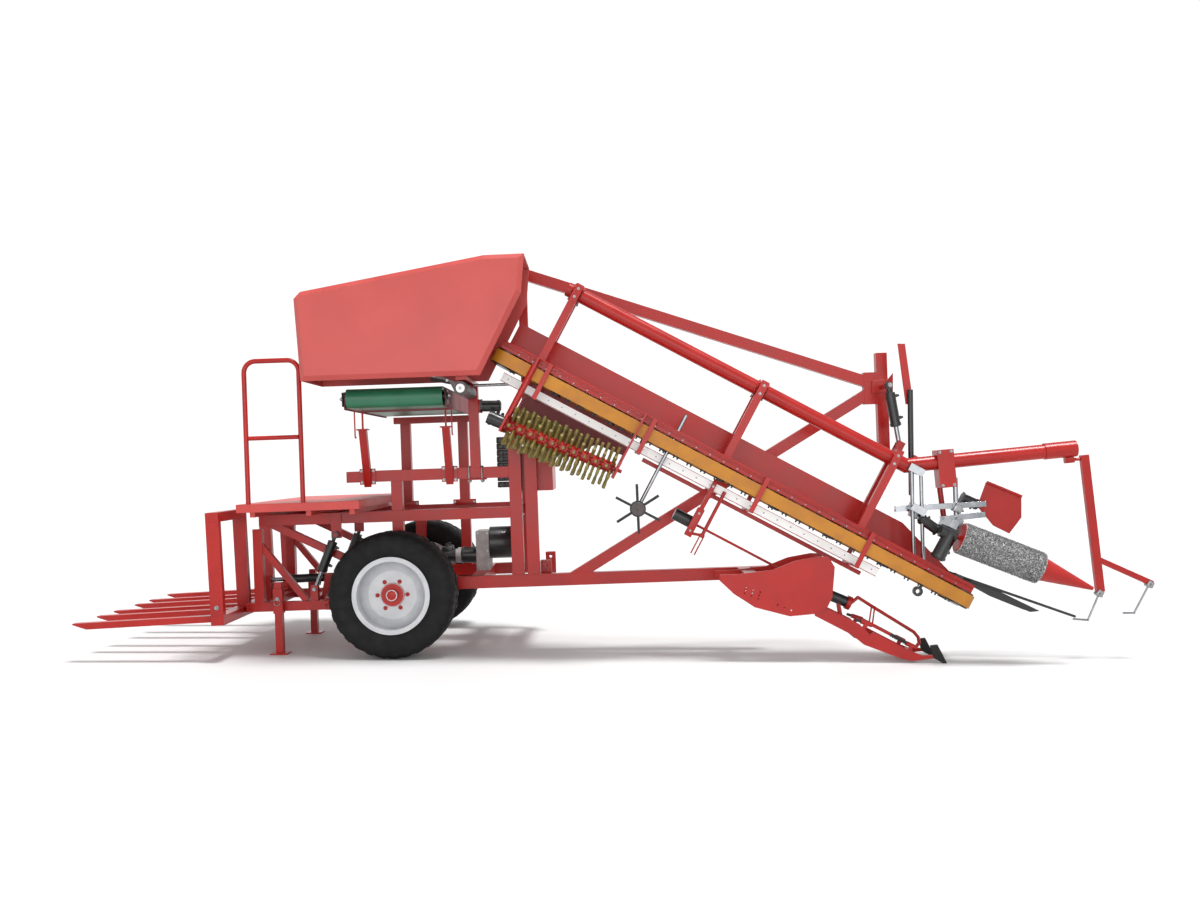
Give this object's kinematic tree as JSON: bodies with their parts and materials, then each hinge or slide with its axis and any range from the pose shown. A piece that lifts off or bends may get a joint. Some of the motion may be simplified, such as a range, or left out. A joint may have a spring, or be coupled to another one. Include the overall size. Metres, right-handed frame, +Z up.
{
  "type": "one-row vegetable harvester",
  "caption": "Tractor-mounted one-row root vegetable harvester with gripping lifting belts, slanted boom, hood, cross conveyor, deck and rear pallet fork",
  "frame": {"origin": "bottom centre of the bounding box, on the ground", "axes": "X forward towards the tractor, Y to the machine's left, Z up"},
  "size_m": [8.3813, 2.59, 3.1325],
  "materials": {
    "red_paint": "semi-gloss paint",
    "gear_iron": "dull grey",
    "share_iron": "dull grey",
    "black_paint": "semi-gloss paint",
    "bare_steel": "dull",
    "green_belt": "matt",
    "chrome": "polished",
    "tyre": "matt",
    "rim_paint": "semi-gloss paint",
    "lift_belt": "matt",
    "white_plastic": "matt",
    "finger_rubber": "matt",
    "black_rubber": "matt",
    "bristle": "matt"
  },
  "bodies": {
    "chassis": {"side_beams": "red_paint", "cross_members": "red_paint", "uprights": "red_paint", "braces": "red_paint", "axle": "red_paint", "headstock": "red_paint", "pump_set": "gear_iron", "oil_tank": "red_paint", "struts": "red_paint", "apex_mast": "red_paint", "share_carrier": "red_paint", "share_arms": "red_paint", "share_tips": "share_iron", "share_drive": "black_paint", "hood_near": "red_paint", "hood_far": "red_paint", "hood_roof": "red_paint", "hood_roller": "bare_steel", "conveyor_frame": "red_paint", "conveyor_belt": "green_belt", "conveyor_rollers": "black_paint", "deck": "red_paint", "handrail": "red_paint"},
    "wheel_right": {"tyre_right": "tyre", "rim_right": "rim_paint"},
    "wheel_left": {"tyre_left": "tyre", "rim_left": "rim_paint"},
    "lift_frame": {"lift_sides": "red_paint", "lift_cross": "red_paint"},
    "leg_right_body": {"leg_right": "red_paint"},
    "leg_left_body": {"leg_left": "red_paint"},
    "fork": {"fork_frame": "red_paint", "fork_posts": "red_paint", "tines": "red_paint"},
    "lift_barrel_body": {"lift_barrels": "black_paint"},
    "lift_rod_body": {"lift_rods": "chrome"},
    "tilt_barrel_body": {"tilt_barrel": "black_paint"},
    "tilt_rod_body": {"tilt_rod": "chrome"},
    "boom_barrel_body": {"boom_barrel": "black_paint"},
    "boom_rod_body": {"boom_rod": "chrome"},
    "lifting_unit": {"boom": "red_paint", "hangers": "red_paint", "belt_frames": "red_paint", "far_guard": "red_paint", "belts": "lift_belt", "pulleys": "black_paint", "guide_rails": "white_plastic", "rail_brackets": "red_paint", "rotor_frame": "red_paint", "rotor_guard": "red_paint", "nose_rods": "black_paint", "front_links": "chrome", "shield": "red_paint", "guide_arm": "red_paint", "bright_rods": "chrome", "unit_motors": "black_paint"},
    "rotor_right_body": {"rotor_right": "finger_rubber"},
    "rotor_left_body": {"rotor_left": "finger_rubber"},
    "star_body": {"star_wheel": "black_rubber"},
    "drum_body": {"brush_drum": "bristle"}
  },
  "joints": [
    {"name": "wheel_right_spin", "type": "hinge", "parent": "chassis", "child": "wheel_right", "pos_m": [-1.769, -0.725, 0.5], "axis": [0, 1, 0], "continuous": true},
    {"name": "wheel_left_spin", "type": "hinge", "parent": "chassis", "child": "wheel_left", "pos_m": [-1.769, 1.075, 0.5], "axis": [0, 1, 0], "continuous": true},
    {"name": "fork_lift", "type": "hinge", "parent": "chassis", "child": "lift_frame", "pos_m": [-2.33544, -0.02, 0.38816], "axis": [0, -1, 0], "range_deg": [0, 9]},
    {"name": "fork_tilt", "type": "hinge", "parent": "lift_frame", "child": "fork", "pos_m": [-2.96506, -0.02, 0.36618], "axis": [0, 1, 0], "range_deg": [-6, 6]},
    {"name": "leg_right_slide", "type": "slide", "parent": "lift_frame", "child": "leg_right_body", "axis": [-0.0349, 0, 0.9994], "range_m": [0, 0.3]},
    {"name": "leg_left_slide", "type": "slide", "parent": "lift_frame", "child": "leg_left_body", "axis": [-0.0349, 0, 0.9994], "range_m": [0, 0.3]},
    {"name": "lift_barrel_turn", "type": "hinge", "parent": "chassis", "child": "lift_barrel_body", "pos_m": [-2.2861, -0.02, 0.95223], "axis": [0, 1, 0], "range_deg": [0, 1.44]},
    {"name": "lift_rod_slide", "type": "slide", "parent": "lift_barrel_body", "child": "lift_rod_body", "axis": [-0.354, 0, -0.9352], "range_m": [0, 0.02586]},
    {"name": "tilt_barrel_turn", "type": "hinge", "parent": "lift_frame", "child": "tilt_barrel_body", "pos_m": [-2.44259, -0.02, 0.56253], "axis": [0, 1, 0], "range_deg": [-0.216, 0.216]},
    {"name": "tilt_rod_slide", "type": "slide", "parent": "tilt_barrel_body", "child": "tilt_rod_body", "axis": [-0.9988, 0, -0.0481], "range_m": [-0.01889, 0.01889]},
    {"name": "unit_swing", "type": "hinge", "parent": "chassis", "child": "lifting_unit", "pos_m": [-0.73698, -0.875, 2.4372], "axis": [0, -1, 0], "range_deg": [-2, 2]},
    {"name": "boom_barrel_turn", "type": "hinge", "parent": "chassis", "child": "boom_barrel_body", "pos_m": [2.16552, -0.705, 2.15832], "axis": [0, 1, 0], "range_deg": [-5.58, 5.58]},
    {"name": "boom_rod_slide", "type": "slide", "parent": "boom_barrel_body", "child": "boom_rod_body", "axis": [0.1788, 0, -0.9839], "range_m": [-0.09876, 0.09876]},
    {"name": "rotor_right_spin", "type": "hinge", "parent": "lifting_unit", "child": "rotor_right_body", "pos_m": [-0.84064, -1.075, 1.83207], "axis": [0.9241, 0, -0.3821], "continuous": true},
    {"name": "rotor_left_spin", "type": "hinge", "parent": "lifting_unit", "child": "rotor_left_body", "pos_m": [-0.84064, -0.675, 1.83207], "axis": [0.9241, 0, -0.3821], "continuous": true},
    {"name": "star_spin", "type": "hinge", "parent": "lifting_unit", "child": "star_body", "pos_m": [0.15635, -0.985, 1.18786], "axis": [0, 1, 0], "continuous": true},
    {"name": "drum_spin", "type": "hinge", "parent": "lifting_unit", "child": "drum_body", "pos_m": [2.60538, -1.125, 0.97275], "axis": [0.9335, 0, -0.3585], "continuous": true}
  ],
  "couplings": [
    {"joint": "lift_barrel_turn", "follows": "fork_lift", "ratio": 0.13815},
    {"joint": "lift_rod_slide", "follows": "fork_lift", "m_per_rad": 0.15825},
    {"joint": "tilt_barrel_turn", "follows": "fork_tilt", "ratio": 0.002683},
    {"joint": "tilt_rod_slide", "follows": "fork_tilt", "m_per_rad": -0.1708},
    {"joint": "boom_barrel_turn", "follows": "unit_swing", "ratio": -2.6889},
    {"joint": "boom_rod_slide", "follows": "unit_swing", "m_per_rad": -2.8007}
  ]
}
